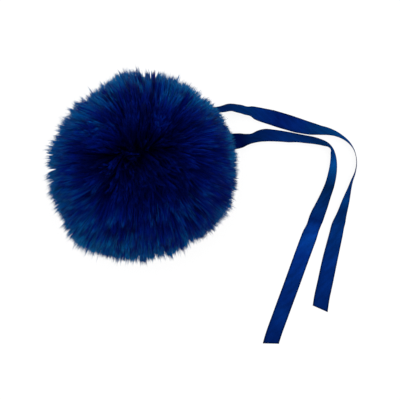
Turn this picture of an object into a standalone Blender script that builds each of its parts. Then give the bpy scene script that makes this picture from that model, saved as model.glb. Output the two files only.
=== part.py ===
"""A blue fur pom pom with two satin ribbon tails, lying on a surface at z = 0.

The ball rests at the world's origin. The tails leave its lower right side, lie
on the surface and turn towards -Y. Lengths are metres, and +Z is up.
"""

import math
import random
from collections import namedtuple

import bmesh
import bpy
from mathutils import Vector, noise
from mathutils.bvhtree import BVHTree

MM = 0.001
SEED = 5

# The ball of fur. Its locks grow from a round backing and are swept towards -Y,
# so the backing's middle is a little off the middle of the outline.
BALL_MIDDLE = Vector((0, 0, 54)) * MM
BACKING_MIDDLE = Vector((-2, 6, 55)) * MM
BACKING_RADIUS = 33 * MM
TOP_REACH = 58 * MM
LOCKS_PER_EDGE = 7  # on each of a cube's six faces, blown up to a ball
CELL_WIDTH = math.pi / 2 / LOCKS_PER_EDGE  # radians
CELL_SHAKE = 0.16  # how far a cell's corner strays, as a share of the cell's width
TIP_SHAKE = 0.30  # how far a tip strays from its cell's middle, in the same way
CELL_DRIFT = 0.25  # how far whole rows of cells drift out of line, in radians
DRIFT_SCALE = 1.6
DRIFT_OFFSETS = (Vector((3, 0, 0)), Vector((0, 5, 0)), Vector((0, 0, 7)))
TIP_UNEVEN = 3.5 * MM
FOOT_BELOW = 4 * MM  # a lock whose tip would end under this height stands on the surface
FOOT_SPREAD = 0.72

# A lock's cross-sections from root to shoulder: how far along the lock each one
# is, and how much of its cell's width it fills there.
LockRing = namedtuple("LockRing", "along spread")
LOCK_RINGS = (
    LockRing(along=0.0, spread=0.80),
    LockRing(along=0.50, spread=0.90),
    LockRing(along=0.82, spread=0.66),
)

# How far the tips reach sideways at the ball's widest, seen from above.
RimRow = namedtuple("RimRow", "azimuth reach")
RIM = (
    RimRow(azimuth=0, reach=62.5 * MM),
    RimRow(azimuth=30, reach=62.0 * MM),
    RimRow(azimuth=60, reach=62.5 * MM),
    RimRow(azimuth=90, reach=62.5 * MM),
    RimRow(azimuth=120, reach=59.5 * MM),
    RimRow(azimuth=150, reach=60.0 * MM),
    RimRow(azimuth=180, reach=60.5 * MM),
    RimRow(azimuth=210, reach=63.0 * MM),
    RimRow(azimuth=235, reach=66.0 * MM),
    RimRow(azimuth=270, reach=62.5 * MM),
    RimRow(azimuth=300, reach=61.0 * MM),
    RimRow(azimuth=330, reach=63.5 * MM),
    RimRow(azimuth=360, reach=62.5 * MM),
)

# The two satin tails, flat ribbon cut from one roll.
RIBBON_WIDTH = 10 * MM
RIBBON_THICKNESS = 1 * MM
SECTION_STEP = 4 * MM
LOCK_CLEARANCE = 0.8 * MM

# A tail's route from its sewn root to its cut end, in millimetres and degrees.
# x and y are the ribbon's middle, lift is the height of its lower edge, and roll
# is its turn from lying flat, with the edge on its right going up.
Station = namedtuple("Station", "x y lift roll")
OUTER_ROUTE = (
    Station(20.0, 25.6, 31.5, 80),
    Station(28.6, 31.4, 23.0, 76),
    Station(39.5, 36.8, 14.0, 72),
    Station(51.6, 39.3, 8.0, 69),
    Station(59.6, 39.8, 4.5, 61),
    Station(67.5, 38.6, 2.0, 54),
    Station(75.6, 36.3, 0.8, 31),
    Station(83.6, 34.1, 0.2, 14),
    Station(95.6, 30.9, 0.0, 7),
    Station(107.4, 27.5, 0.0, 34),
    Station(115.3, 25.7, 0.0, 49),
    Station(123.2, 24.2, 0.0, 62),
    Station(131.2, 20.9, 0.0, 77),
    Station(137.0, 15.4, 0.0, 84),
    Station(139.9, 8.0, 0.0, 88),
    Station(140.1, 0.5, 0.0, 88),
    Station(137.2, -9.0, 0.0, 80),
    Station(134.1, -19.6, 0.0, 66),
    Station(131.2, -30.2, 0.0, 49),
    Station(128.1, -40.9, 0.0, 28),
    Station(124.9, -54.0, 0.0, 12),
    Station(121.4, -70.0, 0.0, 0),
    Station(119.4, -81.0, 0.0, 0),
    Station(117.2, -92.9, 0.0, 0),
)
INNER_ROUTE = (
    Station(24.8, 13.6, 34.4, 0),
    Station(36.0, 16.4, 25.5, 0),
    Station(48.0, 17.8, 15.5, 0),
    Station(58.9, 18.4, 8.5, 0),
    Station(63.8, 18.8, 5.5, 12),
    Station(68.5, 19.6, 2.6, 44),
    Station(72.5, 20.4, 1.0, 53),
    Station(79.5, 22.1, 0.2, 38),
    Station(87.5, 22.2, 0.0, 43),
    Station(95.5, 21.2, 0.0, 49),
    Station(103.4, 20.2, 0.0, 58),
    Station(111.3, 18.8, 0.0, 63),
    Station(118.8, 16.9, 0.0, 73),
    Station(122.6, 14.6, 0.0, 80),
    Station(124.6, 11.4, 0.0, 76),
    Station(125.6, 6.5, 0.0, 63),
    Station(125.4, 0.0, 0.0, 57),
    Station(123.5, -9.0, 0.0, 51),
    Station(119.7, -19.6, 0.0, 42),
    Station(115.5, -30.3, 0.0, 23),
    Station(111.4, -40.9, 0.0, 11),
    Station(105.4, -56.8, 0.0, 4),
    Station(98.9, -74.0, 0.0, 0),
    Station(92.0, -94.5, 0.0, 0),
    Station(84.3, -116.4, 0.0, 0),
)
# How much further along the left edge runs than the right at each cut end.
OUTER_CUT = 3.0 * MM
INNER_CUT = -3.6 * MM

FUR_COLOUR = (0.004, 0.020, 0.105, 1)
FUR_ROUGHNESS = 0.8
SATIN_COLOUR = (0.003, 0.022, 0.150, 1)
SATIN_ROUGHNESS = 0.35


def clear_scene():
    for obj in list(bpy.data.objects):
        bpy.data.objects.remove(obj)


def material(name, colour, roughness):
    made = bpy.data.materials.new(name)
    made.use_nodes = True
    shader = made.node_tree.nodes["Principled BSDF"]
    shader.inputs["Base Color"].default_value = colour
    shader.inputs["Roughness"].default_value = roughness
    shader.inputs["Metallic"].default_value = 0
    return made


def add_object(name, bm, finish):
    mesh = bpy.data.meshes.new(name)
    bm.to_mesh(mesh)
    bm.free()
    mesh.materials.append(finish)
    obj = bpy.data.objects.new(name, mesh)
    bpy.context.scene.collection.objects.link(obj)
    return obj


# Ribbon tails


def route_points(route):
    """Evenly spaced stations on a smooth curve through the route's own, as 4-D vectors."""
    rows = [Vector(row) for row in route]
    gaps = [(b.xyz - a.xyz).length for a, b in zip(rows, rows[1:])]
    slopes = [(b - a) / gap for a, b, gap in zip(rows, rows[1:], gaps)]
    turns = [
        (before * gap_after + after * gap_before) / (gap_before + gap_after)
        for before, after, gap_before, gap_after in zip(slopes, slopes[1:], gaps, gaps[1:])
    ]
    turns = [slopes[0], *turns, slopes[-1]]
    count = round(sum(gaps) * MM / SECTION_STEP)
    points = []
    for index in range(count + 1):
        left = sum(gaps) * index / count
        span = 0
        while span < len(gaps) - 1 and left > gaps[span]:
            left -= gaps[span]
            span += 1
        t = left / gaps[span]
        points.append(
            rows[span] * (1 - t) ** 2 * (1 + 2 * t)
            + turns[span] * gaps[span] * t * (1 - t) ** 2
            + rows[span + 1] * t**2 * (3 - 2 * t)
            - turns[span + 1] * gaps[span] * t**2 * (1 - t)
        )
    return points


def ribbon_sections(route, cut, spare=0.0):
    """Each cross-section's four corners. spare is added on all sides of the ribbon."""
    half_width = RIBBON_WIDTH / 2
    half_thickness = RIBBON_THICKNESS / 2
    points = route_points(route)
    middles = []
    for x, y, lift, roll in points:
        rise = abs(math.sin(math.radians(roll))) * half_width
        rise += math.cos(math.radians(roll)) * half_thickness
        middles.append(Vector((x, y, max(lift, 0))) * MM + Vector((0, 0, rise)))
    sections = []
    for index, middle in enumerate(middles):
        before = middles[max(index - 1, 0)]
        after = middles[min(index + 1, len(middles) - 1)]
        ahead = (after - before).normalized()
        right = ahead.cross(Vector((0, 0, 1))).normalized()
        roll = math.radians(points[index].w)
        across = right * math.cos(roll) + right.cross(ahead) * math.sin(roll)
        face = across.cross(ahead)
        side = across * (half_width + spare)
        up = face * (half_thickness + spare)
        skew = ahead * (cut / 2 if index == len(middles) - 1 else 0)
        corners = [
            middle - side - up + skew,
            middle + side - up - skew,
            middle + side + up - skew,
            middle - side + up + skew,
        ]
        for corner in corners:
            corner.z = max(corner.z, 0)
        sections.append(corners)
    return sections


def loft(sections):
    """One closed body through the sections, with flat ends."""
    bm = bmesh.new()
    rings = [[bm.verts.new(point) for point in section] for section in sections]
    for ring, after in zip(rings, rings[1:]):
        for side in range(len(ring)):
            other = (side + 1) % len(ring)
            bm.faces.new((ring[side], ring[other], after[other], after[side]))
    bm.faces.new(reversed(rings[0]))
    bm.faces.new(rings[-1])
    bmesh.ops.recalc_face_normals(bm, faces=bm.faces)
    return bm


def make_ribbon(name, route, cut, finish):
    """A tail of flat ribbon. Returns the space that the fur has to leave round it."""
    add_object(name, loft(ribbon_sections(route, cut)), finish)
    fat = loft(ribbon_sections(route, cut, LOCK_CLEARANCE))
    kept_clear = BVHTree.FromBMesh(fat)
    fat.free()
    return kept_clear


# Fur


def rim_reach(azimuth):
    """The rim's reach at an azimuth in degrees, eased between the table's rows."""
    for row, after in zip(RIM, RIM[1:]):
        if azimuth <= after.azimuth:
            share = (azimuth - row.azimuth) / (after.azimuth - row.azimuth)
            return row.reach + (after.reach - row.reach) * share**2 * (3 - 2 * share)
    return RIM[-1].reach


def reach_of(direction):
    """How far a lock pointing this way would reach, were there no surface under it."""
    azimuth = math.degrees(math.atan2(direction.y, direction.x)) % 360
    level = direction.x**2 + direction.y**2
    return TOP_REACH + (rim_reach(azimuth) - TOP_REACH) * level


def strayed(direction, share, shake):
    """The direction moved by up to this share of a cell's width, each way."""
    stray = Vector([shake.uniform(-share, share) for _ in range(3)])
    return (direction + stray * CELL_WIDTH).normalized()


def lock_point(direction, along, reach):
    distance = BACKING_RADIUS + (reach - BACKING_RADIUS) * along
    return BACKING_MIDDLE.lerp(BALL_MIDDLE, along) + direction * distance


def floor_point(direction):
    point = BALL_MIDDLE - direction * (BALL_MIDDLE.z / direction.z)
    point.z = 0
    return point


def lock_shape(corners, shake):
    """A lock's rings of four corners, and its tip, which is None where it stands on a foot.

    corners are the directions of its cell's four corners.
    """
    middle = sum(corners, Vector()).normalized()
    reach = reach_of(middle) - shake.uniform(0, TIP_UNEVEN)
    tip = lock_point(strayed(middle, TIP_SHAKE, shake), 1, reach)
    on_floor = tip.z < FOOT_BELOW
    if on_floor:
        reach = -BALL_MIDDLE.z / middle.z
    rings = [
        [lock_point(middle.lerp(c, row.spread).normalized(), row.along, reach) for c in corners]
        for row in LOCK_RINGS
    ]
    if on_floor:
        rings.append([floor_point(middle.lerp(c, FOOT_SPREAD)) for c in corners])
        tip = None
    return rings, tip


def meets(rings, tip, kept_clear):
    """True if a lock comes into any of the spaces kept clear."""
    lock = loft(rings)
    if tip is not None:
        lock.faces.ensure_lookup_table()
        bmesh.ops.poke(lock, faces=[lock.faces[-1]])["verts"][0].co = tip
    shape = BVHTree.FromBMesh(lock)
    lock.free()
    return any(shape.overlap(space) for space in kept_clear)


def grow_lock(bm, cell, rings, tip):
    """Extrudes a cell of the backing ring by ring, and draws its end out to the tip."""
    for ring in rings:
        cell = bmesh.ops.extrude_discrete_faces(bm, faces=[cell])["faces"][0]
        for vert, point in zip(cell.verts, ring):
            vert.co = point
    if tip is not None:
        bmesh.ops.poke(bm, faces=[cell])["verts"][0].co = tip


def drift_at(direction):
    """A smooth swirl over the ball, which dies away towards its underside."""
    swirl = Vector([noise.noise(direction * DRIFT_SCALE + away) for away in DRIFT_OFFSETS])
    return swirl * CELL_DRIFT * (1 + min(direction.z, 0))


def in_order(point):
    """A sorting key that depends on place alone, so that every run draws the same shapes."""
    return tuple(round(part, 5) for part in point)


def make_backing(shake):
    """A ball of even four-sided cells, blown up from a cube, with uneven corners."""
    bm = bmesh.new()
    bmesh.ops.create_cube(bm, size=2)
    cuts = LOCKS_PER_EDGE - 1
    bmesh.ops.subdivide_edges(bm, edges=bm.edges, cuts=cuts, use_grid_fill=True)
    for vert in sorted(bm.verts, key=lambda vert: in_order(vert.co)):
        even = Vector([math.tan(part * math.pi / 4) for part in vert.co]).normalized()
        direction = strayed(even + drift_at(even), CELL_SHAKE, shake)
        vert.co = BACKING_MIDDLE + direction * BACKING_RADIUS
    return bm


def make_pompom(kept_clear, finish):
    shake = random.Random(SEED)
    bm = make_backing(shake)
    for cell in sorted(bm.faces, key=lambda cell: in_order(cell.calc_center_median())):
        corners = [(vert.co - BACKING_MIDDLE).normalized() for vert in cell.verts]
        rings, tip = lock_shape(corners, shake)
        if not meets(rings, tip, kept_clear):
            grow_lock(bm, cell, rings, tip)
    bmesh.ops.recalc_face_normals(bm, faces=bm.faces)
    return add_object("pompom", bm, finish)


def main():
    clear_scene()
    satin = material("satin", SATIN_COLOUR, SATIN_ROUGHNESS)
    fur = material("fur", FUR_COLOUR, FUR_ROUGHNESS)
    kept_clear = [
        make_ribbon("ribbon_outer", OUTER_ROUTE, OUTER_CUT, satin),
        make_ribbon("ribbon_inner", INNER_ROUTE, INNER_CUT, satin),
    ]
    make_pompom(kept_clear, fur)


main()
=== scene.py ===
"""How the pom pom looks: fur built hair by hair, and two tails of satin ribbon.

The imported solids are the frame. Lengths are metres, +Z is up, and the ball rests
at the origin. The ribbons' routes repeat those of their solids.
"""

import math
from collections import namedtuple

import bpy
import numpy as np
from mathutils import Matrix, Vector
from mathutils.bvhtree import BVHTree
from mathutils.kdtree import KDTree


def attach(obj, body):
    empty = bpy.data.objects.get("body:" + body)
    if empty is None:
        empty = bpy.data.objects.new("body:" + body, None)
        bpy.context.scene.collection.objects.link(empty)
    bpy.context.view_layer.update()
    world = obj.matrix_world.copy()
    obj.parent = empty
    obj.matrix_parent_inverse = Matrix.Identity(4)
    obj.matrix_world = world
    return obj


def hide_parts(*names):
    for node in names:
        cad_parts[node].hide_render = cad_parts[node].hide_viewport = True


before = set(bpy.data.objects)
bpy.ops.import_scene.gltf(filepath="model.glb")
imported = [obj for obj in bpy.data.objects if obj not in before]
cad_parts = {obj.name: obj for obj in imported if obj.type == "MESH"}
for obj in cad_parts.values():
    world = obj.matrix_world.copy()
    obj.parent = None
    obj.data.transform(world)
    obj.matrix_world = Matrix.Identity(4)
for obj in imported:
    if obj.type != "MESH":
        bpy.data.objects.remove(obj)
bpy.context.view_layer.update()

MM = 0.001
SEED = 11
BODY = "root"
# The exporter keeps a map of this name, so the colours that follow it stay exact.
UV_MAP = "OFBake"
MAP_MARGIN = 0.02
SLIVER = 0.002  # half the width of a hair on the map

# Ball of fur: hairs grow from a round backing, swept a little towards -Y.
BALL_MIDDLE = np.array((0, 0, 54)) * MM
ROOT_MIDDLE = np.array((-1.5, 3.5, 55)) * MM
ROOT_RADIUS = 34 * MM
BACKING_SKIN = 0.5 * MM  # how far the backing's skin stands out past the roots
BACKING_LUMP = 0.4 * MM
TOP_REACH = 60 * MM
HAIRS = 61000
HAIR_SIDES = 3
HAIR_STATIONS = np.array((0.0, 0.48, 0.88, 1.0))  # root to tip
HAIR_WIDTHS = np.array((0.28, 0.36, 0.34)) * MM  # at the stations before the tip
WIDTH_SPREAD = (0.75, 1.25)  # the thinnest and the thickest hair, as shares of that
ROOT_SCATTER = 0.9  # how far hairs and locks stand off an even spacing, in spacings
BEND = 1.2  # the power by which a hair leans more and more towards its tip
JITTER = 0.008  # each hair's own lean, in radians
DROOP = 1.5 * MM
# Tracts of fur lean together, as the sum of some waves over the ball tells them to.
WAVES = 6
SWIRL = 0.10  # how far the tracts lean, in radians
SWIRL_SCALE = 2.2  # about how many radians of a wave fit in the ball's radius
# The lowest hairs lie on the surface, one over another.
LAYER = 1.5 * MM
LIE_FLAT = 2.0 * MM  # how softly they bend into it
SPREAD_OUT = 0.5  # how far they slide outwards for each length they are pressed up
LEAST_SLIDE_RADIUS = 5 * MM  # hair much nearer to the ball's axis doesn't slide

# Each hair belongs to a broad lock, a lock and a strand. pull is how far its hairs close
# up, lean is its own lean in radians, point is how much shorter a hair is for each radian
# that it grows from the middle, and uneven is how much their lengths differ.
Gather = namedtuple("Gather", "count pull lean point uneven")
GATHERS = (
    Gather(count=160, pull=0.06, lean=0.035, point=0, uneven=0.2 * MM),
    Gather(count=1300, pull=0.45, lean=0.050, point=12 * MM, uneven=0.6 * MM),
    Gather(count=9500, pull=0.85, lean=0.024, point=85 * MM, uneven=1.1 * MM),
)
# How much each gather and each hair differs in shade, by the angle from the crown in
# degrees.
CONTRAST_ANGLES = (15, 60, 85)
GATHER_SHADES = ((0.12, 0.080, 0.056), (0.26, 0.165, 0.120), (0.12, 0.12, 0.10))
HAIR_SHADES = (0.03, 0.050, 0.050)
LEAST_SHADES = (0.02, 0.02, 0.58)  # no hair is darker than this, by the same angle
SHADE_LIMITS = (0.02, 0.98)
# The fur looks smoother on the left and on the right of the photo. Each row points at
# such a side, and is as long as the share of the contrast that is gone there.
SMOOTH_SIDES = np.array(((-0.50, 0.40, 0.0), (-0.26, -0.14, 0.0), (0.28, 0.08, 0.0)))
# In the same way, the ends of the fur are more even on the right of the photo.
EVEN_SIDE = np.array((0.72, 0.15, 0.0))
UNDERFUR = 0.35  # the share of hairs that stop short of the others
UNDERFUR_SHORT = (2.0 * MM, 9.0 * MM)
GUARD_SHORT = 0.8 * MM
STRAYS = 0.05  # the share of hairs that stand out past the others
STRAY_LONG = (0.5 * MM, 2.4 * MM)
# Hair round the crown is wilder than hair down the sides. Its shade is painted: painted
# shade darkens it round the crown, and painted light makes it bright teal down the sides.
# The table gives its middle shade by how far it points from the crown, in degrees.
CROWN = np.array((0.02, 0.12, 0.99))
CROWN_ANGLES = (0, 18, 38, 55, 65, 75, 88, 100, 140)
CROWN_PAINTED_SHADING = (-0.20, 0.10, 0.35, 0.51, 0.64, 0.75, 0.91, 0.99, 0.70)
SIDE_PAINTED_LIGHT = np.array((-0.15, 0.20, 0.0))  # painted light: brighter to the upper left as the camera sees it, where more light falls
# Broad patches of painted light and shade are a little brighter or darker than that. width is in
# degrees.
PaintedPatch = namedtuple("PaintedPatch", "towards width shade")
PAINTED_PATCHES = (
    PaintedPatch(towards=(0.05, -0.50, 0.86), width=24, shade=0.10),
    PaintedPatch(towards=(0.50, 0.35, 0.79), width=24, shade=-0.07),
    PaintedPatch(towards=(0.69, 0.69, 0.20), width=32, shade=0.13),
    PaintedPatch(towards=(-0.25, -0.96, 0.15), width=38, shade=0.11),
    PaintedPatch(towards=(-0.94, 0.29, 0.17), width=42, shade=-0.10),
)
# How much of its own lean a lock has, by the same angle: it is wild at the crown.
WILD_ANGLES = (15, 40, 60)
WILDNESS = (2.2, 1.2, 0.35)
# The fur is brushed outwards from the crown: the lean, in radians, by the same angle.
COMB_ANGLES = (0, 20, 45, 70, 90, 120)
COMB_LEANS = (0.0, 0.14, 0.28, 0.20, 0.10, 0.0)
CROWN_WANDER = 0.18  # how far the place it is brushed from shifts over the ball
CROWN_WANDER_SCALE = 6.0  # like SWIRL_SCALE
CROWN_SEED = 5

# How far the fur reaches sideways at the ball's widest, seen from above.
RimRow = namedtuple("RimRow", "azimuth reach")
RIM = (
    RimRow(0, 62.7 * MM),
    RimRow(30, 62.3 * MM),
    RimRow(60, 61.6 * MM),
    RimRow(75, 63.3 * MM),
    RimRow(85, 62.3 * MM),
    RimRow(87, 61.0 * MM),
    RimRow(89, 59.5 * MM),
    RimRow(92, 64.4 * MM),
    RimRow(105, 63.1 * MM),
    RimRow(120, 57.5 * MM),
    RimRow(130, 57.5 * MM),
    RimRow(136, 60.1 * MM),
    RimRow(150, 58.7 * MM),
    RimRow(170, 62.1 * MM),
    RimRow(180, 61.1 * MM),
    RimRow(190, 62.8 * MM),
    RimRow(210, 61.6 * MM),
    RimRow(220, 64.8 * MM),
    RimRow(230, 67.9 * MM),
    RimRow(240, 66.5 * MM),
    RimRow(250, 63.4 * MM),
    RimRow(270, 62.6 * MM),
    RimRow(280, 61.1 * MM),
    RimRow(288, 61.6 * MM),
    RimRow(300, 60.8 * MM),
    RimRow(320, 63.1 * MM),
    RimRow(330, 64.2 * MM),
    RimRow(340, 64.1 * MM),
    RimRow(360, 62.7 * MM),
)

# Gaps in the fringe, from where each opens to its outer end, in millimetres, as the
# camera sees them at the height of the ball's middle. gape is half its width there.
Parting = namedtuple("Parting", "start end gape")
PARTINGS = (
    Parting(start=(-51.0, -1.2), end=(-62.5, -2.9), gape=1.3),
    Parting(start=(-54.0, 4.6), end=(-61.5, 4.6), gape=0.5),
    Parting(start=(-53.5, 6.8), end=(-61.5, 8.0), gape=0.6),
    Parting(start=(5.7, 54.0), end=(5.9, 63.0), gape=0.8),
    Parting(start=(8.2, 55.5), end=(10.4, 63.0), gape=1.1),
)
PARTING_SPREAD = 3.0  # how far from the gap hair still moves aside
PARTING_OPENS_TO = 1.3  # a gap keeps opening until this many times its length
# A dark streak runs between the last two, back towards the crown.
STREAK = ((6.0, 38.0), (8.1, 64.0))
STREAK_HALF_WIDTH = 1.4
STREAK_SHADE = -0.45
STREAK_LEAST_HEIGHT = 40 * MM

# The two satin tails.
RIBBON_WIDTH = 10.5 * MM
SECTION_STEP = 1.25 * MM
HAIR_CLEARANCE = 0.3 * MM
CLEARANCE_STEP = 4 * MM
# Only hair that reaches past this X from roots below this height can meet a tail.
NEAR_TAILS_X = 15 * MM
NEAR_TAILS_ROOT_Z = 60 * MM
# The weave from edge to edge: how far across, and half its thickness there.
Thread = namedtuple("Thread", "across half_thickness")
WEAVE = (
    Thread(-1.0, 0.03 * MM),
    Thread(-0.975, 0.15 * MM),
    Thread(-0.93, 0.14 * MM),
    Thread(-0.89, 0.09 * MM),
    Thread(-0.6, 0.10 * MM),
    Thread(-0.2, 0.10 * MM),
    Thread(0.2, 0.10 * MM),
    Thread(0.6, 0.10 * MM),
    Thread(0.89, 0.09 * MM),
    Thread(0.93, 0.14 * MM),
    Thread(0.975, 0.15 * MM),
    Thread(1.0, 0.03 * MM),
)
RIPPLE = 0.10 * MM
RIPPLE_LENGTHS = (6.1 * MM, 9.7 * MM)  # along a tail, for each radian of a ripple
CUT_SHARE = 0.04  # the last part of a tail, over which it turns to its slanting cut
CAP_MARGIN = 0.002  # how much of the map a closed end takes up

Station = namedtuple("Station", "x y lift roll")
OUTER_ROUTE = (
    Station(20.0, 25.6, 31.5, 80),
    Station(28.6, 31.4, 23.0, 76),
    Station(39.5, 36.8, 14.0, 72),
    Station(52.0, 38.8, 7.8, 63),
    Station(57.3, 39.9, 5.5, 58),
    Station(62.6, 39.3, 3.5, 56),
    Station(65.2, 38.8, 2.7, 54),
    Station(67.8, 38.1, 1.9, 55),
    Station(70.5, 37.6, 1.5, 51),
    Station(73.0, 36.8, 1.2, 37),
    Station(75.6, 36.1, 0.8, 30),
    Station(80.7, 34.8, 0.4, 21),
    Station(85.9, 33.5, 0.2, 11),
    Station(91.1, 31.9, 0.1, 5),
    Station(96.2, 30.4, 0.0, 8),
    Station(101.2, 28.8, 0.0, 14),
    Station(106.3, 27.4, 0.0, 26),
    Station(111.4, 26.2, 0.0, 36),
    Station(116.6, 25.3, 0.0, 50),
    Station(121.8, 24.5, 0.0, 59),
    Station(126.9, 23.0, 0.0, 68),
    Station(131.7, 20.5, 0.0, 75),
    Station(135.9, 17.1, 0.0, 79.5),
    Station(139.0, 12.7, 0.0, 83),
    Station(140.9, 4.8, 0.0, 84),
    Station(139.8, -3.1, 0.0, 82),
    Station(137.9, -8.0, 0.0, 78.5),
    Station(136.3, -13.1, 0.0, 73),
    Station(134.8, -18.2, 0.0, 64),
    Station(133.3, -23.3, 0.0, 56),
    Station(131.8, -28.3, 0.0, 50),
    Station(131.0, -30.8, 0.0, 46),
    Station(130.2, -33.3, 0.0, 40),
    Station(129.4, -35.9, 0.0, 33),
    Station(128.6, -38.5, 0.0, 30),
    Station(127.5, -43.6, 0.0, 26),
    Station(125.7, -51.3, 0.0, 20),
    Station(123.3, -61.8, 0.0, 11),
    Station(120.6, -74.8, 0.0, 5),
    Station(117.9, -87.8, 0.0, 0),
    Station(117.1, -93.4, 0.0, 0),
)
INNER_ROUTE = (
    Station(24.8, 13.6, 34.4, 0),
    Station(36.0, 16.4, 25.5, 0),
    Station(48.0, 17.8, 15.5, 0),
    Station(59.3, 17.7, 8.3, 0),
    Station(62.0, 18.0, 6.6, 11),
    Station(64.6, 18.5, 5.0, 22),
    Station(67.2, 19.1, 3.4, 39),
    Station(69.8, 19.6, 2.1, 48),
    Station(72.5, 20.0, 1.0, 51),
    Station(75.1, 20.7, 0.7, 45),
    Station(77.7, 21.5, 0.4, 37),
    Station(80.4, 22.0, 0.2, 35),
    Station(85.8, 21.8, 0.0, 39),
    Station(91.1, 21.3, 0.0, 43),
    Station(96.5, 20.6, 0.0, 47),
    Station(101.7, 20.1, 0.0, 55),
    Station(107.1, 19.3, 0.0, 58),
    Station(112.4, 18.5, 0.0, 61),
    Station(117.6, 17.2, 0.0, 66),
    Station(120.2, 16.3, 0.0, 69),
    Station(122.6, 15.1, 0.0, 75),
    Station(124.5, 13.0, 0.0, 77),
    Station(125.1, 10.3, 0.0, 70),
    Station(125.5, 7.7, 0.0, 66),
    Station(125.6, 2.3, 0.0, 59),
    Station(125.0, -3.0, 0.0, 54),
    Station(123.2, -10.8, 0.0, 49),
    Station(120.4, -18.3, 0.0, 43),
    Station(117.4, -25.8, 0.0, 31),
    Station(115.3, -30.8, 0.0, 22),
    Station(114.4, -33.3, 0.0, 19),
    Station(113.4, -35.8, 0.0, 23),
    Station(112.5, -38.3, 0.0, 25),
    Station(111.4, -40.8, 0.0, 22),
    Station(110.4, -43.3, 0.0, 11),
    Station(109.6, -45.8, 0.0, 5),
    Station(107.7, -50.9, 0.0, 0),
    Station(104.0, -61.0, 0.0, 0),
    Station(98.5, -76.3, 0.0, 0),
    Station(91.1, -96.5, 0.0, 0),
    Station(84.9, -114.3, 0.0, 0),
    Station(84.3, -116.5, 0.0, 0),
)
# How far one corner of each tail's end is cut ahead of the other.
OUTER_CUT = 3.0 * MM
INNER_CUT = -2.6 * MM
OUTER_LENGTH = 247 * MM
INNER_LENGTH = 248 * MM
OUTER_PHASE = 0.4  # where each tail's ripples start, in radians
INNER_PHASE = 1.9

# The camera looks straight down, as in the photo.
CAMERA_AT = Vector((0.0372, -0.0210, 1.2))
CAMERA_LENS = 162.4
CAMERA_SENSOR = 36
# angle is how wide the light is, in degrees: the wider, the softer.
Sun = namedtuple("Sun", "name from_direction angle power")
SUNS = (
    Sun("overhead", (0.03, 0.02, 1), 50, 3.8),
    Sun("side", (-0.45, 0.75, 1.0), 80, 1.2),
    Sun("right", (0.9, 0.0, 0.7), 35, 0.6),
)


# Materials


def node(tree, kind, **inputs):
    """A shader node with values for its sockets, an underscore standing for a space."""
    made = tree.nodes.new(kind)
    for name, value in inputs.items():
        made.inputs[name.replace("_", " ")].default_value = value
    return made


def ramp(tree, factor, stops):
    """A colour ramp. stops are (place, colour)."""
    made = tree.nodes.new("ShaderNodeValToRGB")
    elements = made.color_ramp.elements
    while len(elements) < len(stops):
        elements.new(0.5)
    for element, (place, colour) in zip(elements, stops):
        element.position = place
        element.color = (*colour, 1)
    tree.links.new(factor, made.inputs["Fac"])
    return made.outputs["Color"]


def greys(*stops):
    """Stops for a ramp, from (place, brightness)."""
    return [(place, (value, value, value)) for place, value in stops]


def new_material(name):
    """A material, its node tree and its shader."""
    made = bpy.data.materials.new(name)
    made.use_nodes = True
    tree = made.node_tree
    return made, tree, tree.nodes["Principled BSDF"]


def map_parts(tree):
    """The two sockets of the piece's own map: how far along, and the shade or how far across."""
    uv = tree.nodes.new("ShaderNodeUVMap")
    uv.uv_map = UV_MAP
    parts = tree.nodes.new("ShaderNodeSeparateXYZ")
    tree.links.new(uv.outputs["UV"], parts.inputs["Vector"])
    return parts.outputs["X"], parts.outputs["Y"]


def colour_mix(tree, first, second, blend_type):
    """A node that mixes two colours. Its own sockets for colours are 6, 7 and output 2."""
    made = tree.nodes.new("ShaderNodeMix")
    made.data_type = "RGBA"
    made.blend_type = blend_type
    tree.links.new(first, made.inputs[6])
    tree.links.new(second, made.inputs[7])
    return made


def mixed(tree, factor, first, second):
    made = colour_mix(tree, first, second, "MIX")
    tree.links.new(factor, made.inputs[0])
    return made.outputs[2]


def multiplied(tree, first, second):
    made = colour_mix(tree, first, second, "MULTIPLY")
    made.inputs[0].default_value = 1.0
    return made.outputs[2]


def scaled(tree, value, factor):
    made = tree.nodes.new("ShaderNodeMath")
    made.operation = "MULTIPLY"
    made.inputs[1].default_value = factor
    tree.links.new(value, made.inputs[0])
    return made.outputs["Value"]


def noise(tree, place, size, detail, turn=0.0):
    """Noise with features of the size given along each axis of place, once turned."""
    stretch = node(tree, "ShaderNodeMapping", Scale=size, Rotation=(0, 0, turn))
    stretch.vector_type = "TEXTURE"
    tree.links.new(place.outputs["Vector"], stretch.inputs["Vector"])
    made = node(tree, "ShaderNodeTexNoise", Scale=1.0, Detail=detail)
    tree.links.new(stretch.outputs["Vector"], made.inputs["Vector"])
    return made.outputs["Fac"]


def stretched(tree, value, low, high):
    """The part of value between low and high, from 0 to 1."""
    made = node(tree, "ShaderNodeMapRange", From_Min=low, From_Max=high)
    tree.links.new(value, made.inputs["Value"])
    return made.outputs["Result"]


# Satin's own colour, and each tail's painted sheen and shade: how bright and how green it
# is at places along it, lighter where it twists to catch the light and darker where the
# fur shades it.
SATIN = (0.0004, 0.0105, 0.073)
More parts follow.
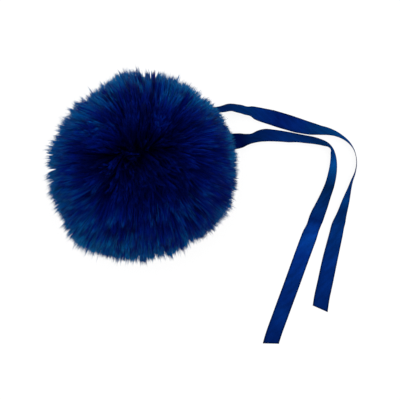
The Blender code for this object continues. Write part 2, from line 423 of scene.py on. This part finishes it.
# Sizes are in millimetres along the ribbon, across it and through it.
THREAD_SIZE = (4.0, 0.2, 1.0)
CREASE_SHADING_SIZE = (11.0, 3.0, 1.0)
CREASE_SHADING_TURN = 0.6  # painted light and shade of soft creases runs at this angle to the ribbon, in radians
Sheen = namedtuple("Sheen", "place bright green")
OUTER_SHEEN_AND_SHADE = (
    Sheen(0.0, 0.5, 1.3),
    Sheen(0.185, 0.6, 1.3),
    Sheen(0.21, 0.96, 1.5),
    Sheen(0.245, 1.15, 1.45),
    Sheen(0.275, 1.5, 0.95),
    Sheen(0.33, 0.75, 0.62),
    Sheen(0.365, 0.8, 0.72),
    Sheen(0.4, 1.28, 0.82),
    Sheen(0.49, 1.35, 2.2),
    Sheen(0.6, 0.45, 1.4),
    Sheen(0.66, 0.45, 1.3),
    Sheen(0.7, 1.8, 1.6),
    Sheen(0.73, 1.05, 1.3),
    Sheen(0.775, 1.6, 1.15),
    Sheen(0.88, 1.2, 0.9),
    Sheen(0.93, 0.95, 0.9),
    Sheen(1.0, 0.75, 0.85),
)
INNER_SHEEN_AND_SHADE = (
    Sheen(0.0, 0.5, 0.4),
    Sheen(0.2, 0.5, 0.5),
    Sheen(0.235, 0.85, 1.2),
    Sheen(0.285, 1.14, 0.88),
    Sheen(0.325, 1.45, 1.05),
    Sheen(0.385, 1.2, 1.4),
    Sheen(0.425, 0.8, 2.2),
    Sheen(0.445, 0.4, 1.7),
    Sheen(0.49, 3.5, 1.8),
    Sheen(0.505, 3.5, 1.9),
    Sheen(0.525, 2.4, 1.6),
    Sheen(0.555, 1.05, 1.5),
    Sheen(0.62, 1.75, 1.15),
    Sheen(0.65, 1.0, 0.85),
    Sheen(0.68, 2.6, 1.0),
    Sheen(0.705, 1.8, 1.1),
    Sheen(0.75, 1.3, 0.84),
    Sheen(0.82, 1.12, 0.92),
    Sheen(0.875, 0.82, 0.82),
    Sheen(0.91, 1.02, 0.94),
    Sheen(0.96, 0.82, 0.84),
    Sheen(1.0, 0.6, 0.8),
)

# A hair's colour at places from its root to its tip, for the darkest, middle and brightest.
# Darker towards the root is painted shade deep in the fur, and the brightest teal tips are
# painted light, as if lit through at the rim.
HairColour = namedtuple("HairColour", "place dark middle bright")
HAIR_COLOURS = (
    HairColour(0.0, (0, 0, 0.001), (0, 0.0001, 0.012), (0, 0.0006, 0.018)),
    HairColour(0.5, (0, 0, 0.010), (0, 0.0014, 0.074), (0, 0.018, 0.155)),
    HairColour(0.82, (0, 0.0002, 0.019), (0, 0.0048, 0.128), (0, 0.092, 0.290)),
    HairColour(0.95, (0, 0.0003, 0.025), (0, 0.0080, 0.152), (0.0005, 0.200, 0.450)),
)


def fur_material():
    """Dark at the root and brighter to the tip, painted shade deep in the fur. Each hair has its
    own shade, which carries painted shade round the crown and painted light at the rim.
    """
    made, tree, shader = new_material("fur_hair")
    along, shade = map_parts(tree)
    dark = ramp(tree, along, [(row.place, row.dark) for row in HAIR_COLOURS])
    middle = ramp(tree, along, [(row.place, row.middle) for row in HAIR_COLOURS])
    bright = ramp(tree, along, [(row.place, row.bright) for row in HAIR_COLOURS])
    lower = mixed(tree, stretched(tree, shade, 0.0, 0.5), dark, middle)
    colour = mixed(tree, stretched(tree, shade, 0.5, 1.0), lower, bright)
    tree.links.new(colour, shader.inputs["Base Color"])
    shader.inputs["Roughness"].default_value = 0.6
    shader.inputs["Specular IOR Level"].default_value = 0.1
    shader.inputs["Specular Tint"].default_value = (0.02, 0.25, 1.0, 1)
    return made


def backing_material():
    made, tree, shader = new_material("fur_backing_skin")
    where = tree.nodes.new("ShaderNodeTexCoord")
    grain = node(tree, "ShaderNodeTexNoise", Scale=900.0, Detail=3.0)
    tree.links.new(where.outputs["Object"], grain.inputs["Vector"])
    colour = ramp(
        tree,
        grain.outputs["Fac"],
        ((0.3, (0.0, 0.0001, 0.002)), (0.7, (0.0, 0.0006, 0.008))),
    )
    tree.links.new(colour, shader.inputs["Base Color"])
    shader.inputs["Roughness"].default_value = 0.9
    shader.inputs["Specular IOR Level"].default_value = 0.0
    return made


def satin_material(name, sheen_and_shade, length):
    """Satin with dark selvedges and painted crease shading. sheen_and_shade is the painted sheen
    and shade: how bright the ribbon is at places along it.
    """
    made, tree, shader = new_material(name)
    along, across = map_parts(tree)
    place = tree.nodes.new("ShaderNodeCombineXYZ")
    tree.links.new(scaled(tree, along, length / MM), place.inputs["X"])
    tree.links.new(scaled(tree, across, RIBBON_WIDTH / MM), place.inputs["Y"])

    red, green, blue = SATIN
    # Painted sheen and shade along the tail, on the satin's own colour.
    painted_sheen_colour = ramp(
        tree,
        along,
        [
            (row.place, (row.bright * red, row.bright * row.green * green, row.bright * blue))
            for row in sheen_and_shade
        ],
    )
    selvedges = greys((0.0, 0.5), (0.06, 0.6), (0.13, 1.0), (0.87, 1.0), (0.94, 0.6), (1.0, 0.5))
    edge = ramp(tree, across, selvedges)
    weave = noise(tree, place, THREAD_SIZE, 3.0)
    threads = ramp(tree, weave, greys((0.3, 0.82), (0.7, 1.18)))
    # Painted light and shade of soft creases: lighter and darker streaks at a slant across the
    # satin.
    crease_shading_noise = noise(tree, place, CREASE_SHADING_SIZE, 2.0, CREASE_SHADING_TURN)
    crease_shading = ramp(tree, crease_shading_noise, greys((0.3, 0.80), (0.7, 1.25)))
    colour = multiplied(tree, multiplied(tree, painted_sheen_colour, edge), multiplied(tree, threads, crease_shading))
    tree.links.new(colour, shader.inputs["Base Color"])

    # Fine ridges run across, where the threads of the weft lie side by side.
    wave = node(tree, "ShaderNodeTexWave", Scale=1.0, Distortion=0.6)
    wave.bands_direction = "X"
    tree.links.new(place.outputs["Vector"], wave.inputs["Vector"])
    ridge = node(tree, "ShaderNodeBump", Strength=0.25, Distance=0.04 * MM)
    tree.links.new(wave.outputs["Fac"], ridge.inputs["Height"])
    tree.links.new(ridge.outputs["Normal"], shader.inputs["Normal"])

    # The dyed threads colour what they reflect, also at a grazing angle.
    shader.inputs["Metallic"].default_value = 0.5
    shader.inputs["Roughness"].default_value = 0.58
    shader.inputs["Specular IOR Level"].default_value = 0.0
    shader.inputs["Specular Tint"].default_value = (0.05, 0.3, 1.0, 1)
    shader.inputs["Sheen Weight"].default_value = 0.08
    shader.inputs["Sheen Roughness"].default_value = 0.45
    shader.inputs["Sheen Tint"].default_value = (0.02, 0.30, 1.0, 1)
    return made


def floor_material():
    made, tree, shader = new_material("floor_paint")
    shader.inputs["Base Color"].default_value = (0.08, 0.08, 0.08, 1)
    # The white table glows a little, so the shadows on it stay faint.
    shader.inputs["Emission Color"].default_value = (1, 1, 1, 1)
    shader.inputs["Emission Strength"].default_value = 0.9
    shader.inputs["Roughness"].default_value = 0.9
    shader.inputs["Specular IOR Level"].default_value = 0.1
    return made


# Meshes


def unit(vectors):
    return vectors / np.linalg.norm(vectors, axis=-1, keepdims=True)


def add_mesh(name, points, loops, sizes, uvs, finish):
    """A mesh object from arrays: loops are the faces' corners one after another."""
    mesh = bpy.data.meshes.new(name)
    mesh.vertices.add(len(points))
    mesh.vertices.foreach_set("co", np.ascontiguousarray(points, np.float32).ravel())
    mesh.loops.add(len(loops))
    mesh.loops.foreach_set("vertex_index", np.ascontiguousarray(loops, np.int32))
    mesh.polygons.add(len(sizes))
    starts = np.concatenate([[0], np.cumsum(sizes)[:-1]])
    mesh.polygons.foreach_set("loop_start", starts.astype(np.int32))
    mesh.polygons.foreach_set("use_smooth", np.ones(len(sizes), bool))
    mesh.update(calc_edges=True)
    layer = mesh.uv_layers.new(name=UV_MAP)
    layer.uv.foreach_set("vector", np.ascontiguousarray(uvs, np.float32).ravel())
    mesh.materials.append(finish)
    obj = bpy.data.objects.new(name, mesh)
    bpy.context.scene.collection.objects.link(obj)
    return obj


def dress(obj, node_name):
    """Puts a piece on the body that it rides on, and hides the solid that it stands for."""
    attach(obj, BODY)
    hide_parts(node_name)


# Ribbon tails


def route_points(route, step):
    """Evenly spaced stations on a smooth curve through the route's own, as rows of four."""
    rows = np.array(route, float)
    gaps = np.linalg.norm(np.diff(rows[:, :3], axis=0), axis=1)
    slopes = np.diff(rows, axis=0) / gaps[:, None]
    between = (slopes[:-1] * gaps[1:, None] + slopes[1:] * gaps[:-1, None]) / (
        gaps[:-1] + gaps[1:]
    )[:, None]
    turns = np.concatenate([slopes[:1], between, slopes[-1:]])
    ends = np.concatenate([[0], np.cumsum(gaps)])
    places = np.linspace(0, ends[-1], round(ends[-1] * MM / step) + 1)
    span = np.clip(np.searchsorted(ends, places, "right") - 1, 0, len(gaps) - 1)
    gap = gaps[span][:, None]
    t = (places - ends[span])[:, None] / gap
    return (
        rows[span] * (1 - t) ** 2 * (1 + 2 * t)
        + turns[span] * gap * t * (1 - t) ** 2
        + rows[span + 1] * t**2 * (3 - 2 * t)
        - turns[span + 1] * gap * t**2 * (1 - t)
    )


def ribbon_frame(route, half_thickness, step=SECTION_STEP):
    """The middle line of a tail, and the directions ahead, across and off its face."""
    stations = route_points(route, step)
    roll = np.radians(stations[:, 3:])
    rise = np.abs(np.sin(roll)) * RIBBON_WIDTH / 2 + np.cos(roll) * half_thickness
    middles = stations[:, :3] * MM
    middles[:, 2:] = np.maximum(middles[:, 2:], 0) + rise
    ahead = unit(np.gradient(middles, axis=0))
    right = unit(np.cross(ahead, (0, 0, 1)))
    across = right * np.cos(roll) + np.cross(right, ahead) * np.sin(roll)
    return middles, ahead, across, np.cross(across, ahead)


def ribbon_space(route):
    """The room that the hair leaves round a tail, as a shape to cast rays at."""
    middles, _, across, face = ribbon_frame(route, HAIR_CLEARANCE, CLEARANCE_STEP)
    side = across * (RIBBON_WIDTH / 2 + HAIR_CLEARANCE)
    up = face * 2 * HAIR_CLEARANCE
    rings = np.stack([-side - up, side - up, side + up, -side + up], 1) + middles[:, None]
    corners = np.arange(len(rings) * 4).reshape(-1, 4)
    faces = []
    for ring, after in zip(corners, corners[1:]):
        for a in range(4):
            b = (a + 1) % 4
            faces.append((ring[a], ring[b], after[b], after[a]))
    return BVHTree.FromPolygons(rings.reshape(-1, 3).tolist(), faces)


def ribbon_rings(route, cut, length, phase):
    """The points round each section of a tail: its face from edge to edge, then its back."""
    threads = np.array(WEAVE)
    middles, ahead, across, face = ribbon_frame(route, threads[:, 1].max())
    along = np.linspace(0, 1, len(middles))
    run = along * length
    short, long = RIPPLE_LENGTHS
    ripple = RIPPLE * (np.sin(run / short + phase) + np.sin(run / long + 2 * phase))
    slant = np.clip((along - (1 - CUT_SHARE)) / CUT_SHARE, 0, 1) ** 2 * cut / 2
    wide = across[:, None] * (threads[:, 0] * RIBBON_WIDTH / 2)[None, :, None]
    wide = wide - ahead[:, None] * (slant[:, None] * threads[:, 0])[..., None]
    crown = (1 - threads[:, 0] ** 2)[None, :] * ripple[:, None]
    base = middles[:, None] + wide + face[:, None] * crown[..., None]
    thick = face[:, None] * threads[None, :, 1, None]
    rings = np.concatenate([base + thick, (base - thick)[:, ::-1]], 1)
    rings[..., 2] = np.maximum(rings[..., 2], 0)
    return rings


def wall_quads(along, v):
    """The quads between one ring and the next, and where their corners are on the map."""
    sides = len(v)
    ring = np.arange(len(along) - 1)[:, None] * sides
    a = np.arange(sides)[None]
    b = (a + 1) % sides
    quads = np.stack([ring + b, ring + a, ring + sides + a, ring + sides + b], -1)
    us = np.stack([along[:-1], along[:-1], along[1:], along[1:]], -1)[:, None]
    vs = np.stack([v[b], v[a], v[a], v[b]], -1)
    return quads, np.stack(np.broadcast_arrays(us, vs), -1)


def cap_quads(start, u, inside, v):
    """A row of quads from the face to the back, which closes the ring that begins at start."""
    low = np.arange(len(v) // 2 - 1)
    far = len(v) - 1 - low
    quads = np.stack([low, low + 1, far - 1, far], -1) + start
    us = np.array([u, u, inside, inside])
    vs = np.stack([v[low], v[low + 1], v[low + 1], v[low]], -1)
    return quads, np.stack(np.broadcast_arrays(us, vs), -1)


def make_ribbon(name, route, cut, length, phase, finish):
    """One tail of ribbon: a wall of quads round it, and a row of them across each end."""
    rings = ribbon_rings(route, cut, length, phase)
    count, sides = rings.shape[:2]
    along = np.linspace(0, 1, count)
    across = [thread.across for thread in WEAVE]
    v = np.array(across + across[::-1]) / 2 + 0.5
    walls, wall_uvs = wall_quads(along, v)
    first, first_uvs = cap_quads(0, 0.0, CAP_MARGIN, v)
    last, last_uvs = cap_quads((count - 1) * sides, 1.0, 1 - CAP_MARGIN, v)
    quads = [walls, first, last[:, ::-1]]
    uvs = [wall_uvs, first_uvs, last_uvs[:, ::-1]]
    loops = np.concatenate([part.reshape(-1) for part in quads])
    obj = add_mesh(
        name,
        rings.reshape(-1, 3),
        loops,
        np.full(len(loops) // 4, 4),
        np.concatenate([part.reshape(-1, 2) for part in uvs]),
        finish,
    )
    return obj


# Fur


def even_directions(count, rng):
    """Directions spread evenly over a ball, each a little off its place."""
    index = np.arange(count) + 0.5
    z = 1 - 2 * index / count
    azimuth = math.pi * (1 + math.sqrt(5)) * index
    level = np.sqrt(1 - z**2)
    even = np.stack([level * np.cos(azimuth), level * np.sin(azimuth), z], 1)
    return unit(even + rng.normal(0, ROOT_SCATTER / math.sqrt(count), even.shape))


def nearest(centres, directions):
    """The index of the centre that each direction is nearest to."""
    tree = KDTree(len(centres))
    for index, centre in enumerate(centres):
        tree.insert(centre, index)
    tree.balance()
    return np.array([tree.find(direction)[1] for direction in directions])


def broad_waves(directions, scale, rng):
    """A smooth field over the ball, the sum of a few broad waves."""
    field = np.zeros_like(directions)
    for _ in range(WAVES):
        wave = rng.normal(0, scale, 3)
        swing = np.cos(directions @ wave + rng.uniform(0, 2 * math.pi))
        field += swing[:, None] * rng.normal(0, 1, 3)
    return field / (WAVES / 2)


def angle_from(towards, directions):
    """How far each direction is from one of them, in degrees."""
    return np.degrees(np.arccos(np.clip(directions @ towards, -1, 1)))


def combed(directions):
    """The lean of each direction away from the crown, which is not quite one place for all."""
    rng = np.random.default_rng(CROWN_SEED)
    lean = np.interp(angle_from(CROWN, directions), COMB_ANGLES, COMB_LEANS)
    crown = unit(CROWN + broad_waves(directions, CROWN_WANDER_SCALE, rng) * CROWN_WANDER)
    away = directions * (directions * crown).sum(1, keepdims=True) - crown
    return away / np.maximum(np.linalg.norm(away, axis=1), 1e-6)[:, None] * lean[:, None]


def reach_of(directions):
    """How far from the ball's middle the longest hair reaches in each direction."""
    azimuth = np.degrees(np.arctan2(directions[:, 1], directions[:, 0])) % 360
    rim = np.interp(azimuth, [row.azimuth for row in RIM], [row.reach for row in RIM])
    level = directions[:, 0] ** 2 + directions[:, 1] ** 2
    return TOP_REACH + (rim - TOP_REACH) * level


def grown_hairs(rng):
    """Each hair's points from root to tip, its root's direction and its shade from 0 to 1."""
    root = even_directions(HAIRS, rng)
    tip = root + combed(root) + broad_waves(root, SWIRL_SCALE, rng) * SWIRL
    tip += rng.normal(0, JITTER, root.shape)
    shorter = np.abs(rng.normal(0, GUARD_SHORT, HAIRS))
    under = rng.random(HAIRS) < UNDERFUR
    shorter[under] += rng.uniform(*UNDERFUR_SHORT, under.sum())
    stray = rng.random(HAIRS) < STRAYS
    shorter[stray] -= rng.uniform(*STRAY_LONG, stray.sum())
    from_crown = angle_from(CROWN, root)
    wild = np.interp(from_crown, WILD_ANGLES, WILDNESS)[:, None]
    own_shade = rng.normal(0, 1, HAIRS) * np.interp(from_crown, CONTRAST_ANGLES, HAIR_SHADES)
    for gather, shades in zip(GATHERS, GATHER_SHADES):
        centres = even_directions(gather.count, rng)
        mine = nearest(centres, root)
        tip += rng.normal(0, gather.lean, centres.shape)[mine] * wild
        tip -= gather.pull * (root - centres[mine])
        shorter += gather.point * np.linalg.norm(root - centres[mine], axis=1)
        shorter += rng.normal(0, gather.uneven, gather.count)[mine]
        contrast = np.interp(from_crown, CONTRAST_ANGLES, shades)
        own_shade += contrast * (1 - rng.exponential(1, gather.count))[mine]
    shorter *= 1 - np.maximum(root @ EVEN_SIDE, 0) ** 2
    points = hair_points(root, unit(tip), shorter)
    shade = shades_of(root, own_shade)
    shade[in_streak(points)] += STREAK_SHADE
    for parting in PARTINGS:
        part_hair(points, parting)
    return laid_on_floor(points, rng), root, np.clip(shade, *SHADE_LIMITS)


def shades_of(root, own_shade):
    """Each hair's shade: the painted light and shade of its place on the ball, and its own
    difference from that.
    """
    from_crown = angle_from(CROWN, root)
    own_shade = own_shade * (1 - np.maximum(root @ SMOOTH_SIDES.T, 0).sum(1))
    shade = np.interp(from_crown, CROWN_ANGLES, CROWN_PAINTED_SHADING) + root @ SIDE_PAINTED_LIGHT + own_shade
    for patch in PAINTED_PATCHES:
        shade += patch.shade * np.exp(-((angle_from(patch.towards, root) / patch.width) ** 2))
    return np.maximum(shade, np.interp(from_crown, CONTRAST_ANGLES, LEAST_SHADES))


def hair_points(root, tip, shorter):
    """Each hair's points. It grows straight from its root, and bends over towards its tip."""
    reach = (reach_of(tip) - shorter)[:, None, None]
    t = HAIR_STATIONS[None, :, None]
    direction = unit(root[:, None] + (tip - root)[:, None] * t**BEND)
    points = ROOT_MIDDLE * (1 - t) + BALL_MIDDLE * t
    points = points + direction * (ROOT_RADIUS + (reach - ROOT_RADIUS) * t)
    level = 1 - tip[:, 2:] ** 2
    points[..., 2] -= DROOP * level * HAIR_STATIONS**2
    return points


def seen_level(points):
    """Where each point is seen from the camera, on the level of the ball's middle."""
    camera = np.array(CAMERA_AT)
    nearer = (points[..., 2:] - BALL_MIDDLE[2]) / (camera[2] - points[..., 2:])
    return points[..., :2] + (points[..., :2] - camera[:2]) * nearer


def in_streak(points):
    """True for the hairs whose tips the camera sees in the dark streak."""
    start, end = np.array(STREAK) * MM
    offset = seen_level(points[:, -1]) - start
    place = np.clip(offset @ (end - start) / ((end - start) @ (end - start)), 0, 1)
    away = np.linalg.norm(offset - place[:, None] * (end - start), axis=1)
    return (away < STREAK_HALF_WIDTH * MM) & (points[:, -1, 2] > STREAK_LEAST_HEIGHT)


def part_hair(points, parting):
    """Moves hairs to either side of a gap that widens outwards. A hair keeps to its tip's side."""
    start, end = np.array(parting.start) * MM, np.array(parting.end) * MM
    length = np.linalg.norm(end - start)
    ahead = (end - start) / length
    aside = np.array((-ahead[1], ahead[0]))
    offset = seen_level(points) - start
    along = np.clip(offset @ ahead / length, 0, PARTING_OPENS_TO)
    off = offset @ aside
    side = np.where(off[:, -1:] < 0, -1, 1)
    gap = parting.gape * MM * along
    fade = np.exp(-np.abs(off) / (PARTING_SPREAD * MM))
    moved = side * (np.where(along > 0, np.maximum(side * off, 0), side * off) + gap * fade)
    points[..., :2] += (moved - off)[..., None] * aside


def laid_on_floor(points, rng):
    """The lowest hairs bend to lie on the surface, and slide outwards as they do."""
    low = rng.uniform(0.0, LAYER, (len(points), 1))
    z = points[..., 2]
    raised = low + (z - low + np.sqrt((z - low) ** 2 + LIE_FLAT**2)) / 2
    radius = np.linalg.norm(points[..., :2], axis=-1, keepdims=True)
    outwards = points[..., :2] / (radius + LEAST_SLIDE_RADIUS)
    points[..., :2] += outwards * (raised - z)[..., None] * SPREAD_OUT
    points[..., 2] = raised
    return points


def clear_of(spaces, points):
    """True for each hair that passes through none of the spaces."""
    clear = np.ones(len(points), bool)
    near = (points[:, :, 0].max(1) > NEAR_TAILS_X) & (points[:, 0, 2] < NEAR_TAILS_ROOT_Z)
    for index in np.flatnonzero(near):
        for start, end in zip(points[index], points[index, 1:]):
            step = Vector(end - start)
            for space in spaces:
                if space.ray_cast(Vector(start), step, step.length)[0] is not None:
                    clear[index] = False
    return clear


def inside_map(values):
    """Values from 0 to 1, kept a little off the edges of the map."""
    return values * (1 - 2 * MAP_MARGIN) + MAP_MARGIN


def hair_mesh(name, points, shades, finish, rng):
    """One mesh of three-sided hairs with pointed tips."""
    count, stations = points.shape[:2]
    rings = stations - 1
    along = unit(points[:, -1] - points[:, 0])
    side = unit(np.cross(along, rng.normal(0, 1, along.shape)))
    other = np.cross(along, side)
    turn = np.arange(HAIR_SIDES) * 2 * math.pi / HAIR_SIDES
    spokes = np.cos(turn)[:, None] * side[:, None] + np.sin(turn)[:, None] * other[:, None]
    width = rng.uniform(*WIDTH_SPREAD, (count, 1)) * HAIR_WIDTHS / 2
    walls = points[:, :rings, None] + width[:, :, None, None] * spokes[:, None]
    tip = rings * HAIR_SIDES
    verts = np.concatenate([walls.reshape(count, tip, 3), points[:, -1:]], 1)
    verts[..., 2] = np.maximum(verts[..., 2], 0)

    loops, sizes, us, vs = [], [], [], []
    for ring in range(rings):
        first = ring * HAIR_SIDES
        for a in range(HAIR_SIDES):
            b = (a + 1) % HAIR_SIDES
            if ring < rings - 1:
                after = first + HAIR_SIDES
                loops += [first + a, first + b, after + b, after + a]
                us += [HAIR_STATIONS[ring]] * 2 + [HAIR_STATIONS[ring + 1]] * 2
                vs += [-1, 1, 1, -1]
                sizes.append(4)
            else:
                loops += [first + a, first + b, tip]
                us += [HAIR_STATIONS[ring]] * 2 + [1.0]
                vs += [-1, 1, 0]
                sizes.append(3)
    base = np.arange(count)[:, None] * (tip + 1)
    u = np.broadcast_to(inside_map(np.array(us)), (count, len(us)))
    v = inside_map(shades[:, None]) + np.array(vs) * SLIVER
    return add_mesh(
        name,
        verts.reshape(-1, 3),
        (base + np.array(loops)).reshape(-1),
        np.tile(sizes, count),
        np.stack([u, v], -1).reshape(-1, 2),
        finish,
    )


def make_fur(spaces):
    """The hairs, in six pieces by the way that they grow, with none in the spaces."""
    rng = np.random.default_rng(SEED)
    finish = fur_material()
    points, root, shades = grown_hairs(rng)
    clear = clear_of(spaces, points)
    points, root, shades = points[clear], root[clear], shades[clear]
    widest = np.abs(root).argmax(1)
    positive = np.take_along_axis(root, widest[:, None], 1)[:, 0] > 0
    patches = {
        "fur_right": (0, True),
        "fur_left": (0, False),
        "fur_back": (1, True),
        "fur_front": (1, False),
        "fur_top": (2, True),
        "fur_under": (2, False),
    }
    for name, (axis, sign) in patches.items():
        mine = (widest == axis) & (positive == sign)
        dress(hair_mesh(name, points[mine], shades[mine], finish, rng), "pompom")


def make_backing():
    """The gathered skin that the hairs grow from, hidden under them."""
    bpy.ops.mesh.primitive_ico_sphere_add(subdivisions=5, radius=1)
    obj = bpy.context.object
    obj.name = obj.data.name = "fur_backing"
    for vert in obj.data.vertices:
        x, y, z = vert.co
        lumps = math.sin(9 * x + 2) + math.sin(8 * y + 1) + math.sin(10 * z)
        radius = ROOT_RADIUS + BACKING_SKIN + BACKING_LUMP * lumps
        vert.co = ROOT_MIDDLE + np.array(vert.co) * radius
    obj.data.polygons.foreach_set("use_smooth", np.ones(len(obj.data.polygons), bool))
    obj.data.materials.append(backing_material())
    dress(obj, "pompom")


# The studio


def add_floor():
    bpy.ops.mesh.primitive_plane_add(size=8)
    floor = bpy.context.object
    floor.name = "floor"
    floor.data.materials.append(floor_material())


def add_sun(sun):
    light = bpy.data.lights.new(sun.name, "SUN")
    light.angle = math.radians(sun.angle)
    light.energy = sun.power
    obj = bpy.data.objects.new(sun.name, light)
    obj.rotation_mode = "QUATERNION"
    obj.rotation_quaternion = Vector(sun.from_direction).to_track_quat("Z", "Y")
    bpy.context.scene.collection.objects.link(obj)


def add_world():
    """Soft light from all round: bright at the horizon, like a white studio wall, and dim above."""
    world = bpy.data.worlds.new("studio")
    world.use_nodes = True
    tree = world.node_tree
    where = tree.nodes.new("ShaderNodeTexCoord")
    parts = tree.nodes.new("ShaderNodeSeparateXYZ")
    tree.links.new(where.outputs["Generated"], parts.inputs["Vector"])
    wall = ramp(tree, parts.outputs["Z"], [(0.0, (1, 1, 1)), (0.3, (0.10, 0.10, 0.10))])
    tree.links.new(wall, tree.nodes["Background"].inputs["Color"])
    bpy.context.scene.world = world


def add_studio():
    scene = bpy.context.scene
    scene.view_settings.view_transform = "Standard"
    add_world()
    for sun in SUNS:
        add_sun(sun)

    camera = bpy.data.cameras.new("camera")
    camera.lens = CAMERA_LENS
    camera.sensor_width = CAMERA_SENSOR
    obj = bpy.data.objects.new("camera", camera)
    obj.location = CAMERA_AT
    scene.collection.objects.link(obj)
    scene.camera = obj


def main():
    add_studio()
    add_floor()
    satin = satin_material("satin_weave_outer", OUTER_SHEEN_AND_SHADE, OUTER_LENGTH)
    outer = make_ribbon(
        "ribbon_tail_outer", OUTER_ROUTE, OUTER_CUT, OUTER_LENGTH, OUTER_PHASE, satin
    )
    dress(outer, "ribbon_outer")
    satin = satin_material("satin_weave_inner", INNER_SHEEN_AND_SHADE, INNER_LENGTH)
    inner = make_ribbon(
        "ribbon_tail_inner", INNER_ROUTE, INNER_CUT, INNER_LENGTH, INNER_PHASE, satin
    )
    dress(inner, "ribbon_inner")
    make_backing()
    make_fur([ribbon_space(OUTER_ROUTE), ribbon_space(INNER_ROUTE)])


main()
